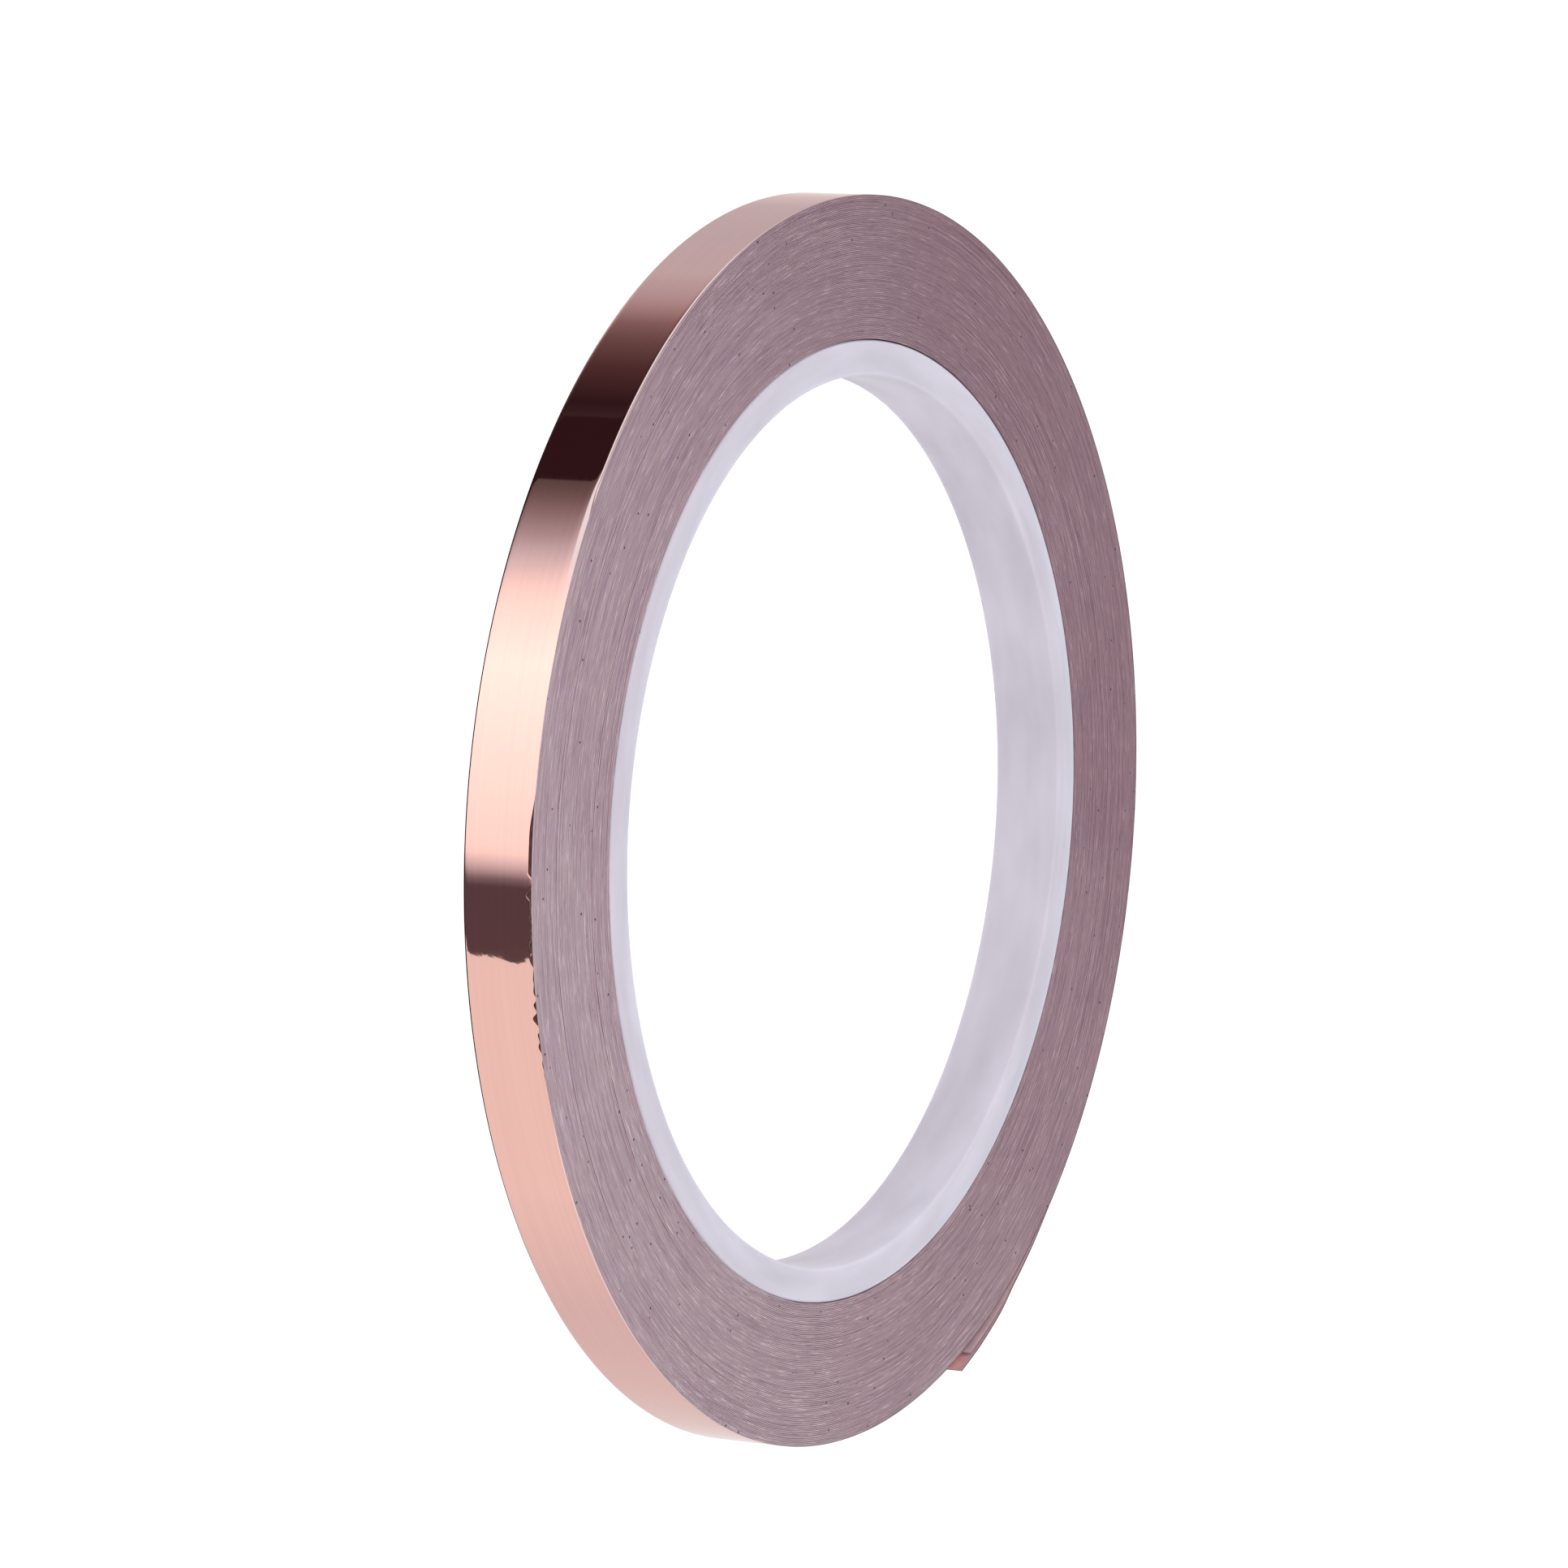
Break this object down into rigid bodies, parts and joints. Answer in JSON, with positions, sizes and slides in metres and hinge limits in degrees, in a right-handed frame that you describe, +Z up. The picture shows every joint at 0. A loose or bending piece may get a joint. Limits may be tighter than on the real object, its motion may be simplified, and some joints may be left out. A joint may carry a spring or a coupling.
{
  "type": "copper foil tape roll",
  "caption": "Narrow adhesive-backed copper foil tape wound on a white plastic ring core, with its free end lifting off the roll and its release paper parting from the foil.",
  "frame": {"origin": "centre of the core's bore, midway between the two side faces", "axes": "+Y along the roll's axis, away from the side face that the tape's free end is seen from; +Z up with the roll on edge, as it hangs on a spindle; the free end leaves the roll low on the +X side"},
  "size_m": [0.1068, 0.0064, 0.1067],
  "materials": {
    "milky_plastic": "satin",
    "copper_foil": "polished",
    "wound_edges": "matte",
    "adhesive": "satin",
    "release_paper": "matte"
  },
  "bodies": {
    "roll": {"core_ring": "milky_plastic", "start_tack": "adhesive", "packed_wraps": "wound_edges", "outer_wrap_foil": "copper_foil", "outer_wrap_adhesive": "adhesive", "outer_wrap_liner": "release_paper"},
    "foil_end": {"tail_foil": "copper_foil", "tail_adhesive": "adhesive"},
    "liner_end": {"tail_liner": "release_paper"}
  },
  "joints": [
    {"name": "foil_peel", "type": "hinge", "parent": "roll", "child": "foil_end", "pos_m": [0.03645, 0, -0.03909], "axis": [0, -1, 0], "range_deg": [-3.6, 90]},
    {"name": "liner_peel", "type": "hinge", "parent": "roll", "child": "liner_end", "pos_m": [0.03645, 0, -0.03909], "axis": [0, -1, 0], "range_deg": [-2.4, 60]}
  ],
  "couplings": [
    {"joint": "liner_peel", "follows": "foil_peel", "ratio": 0.65}
  ]
}
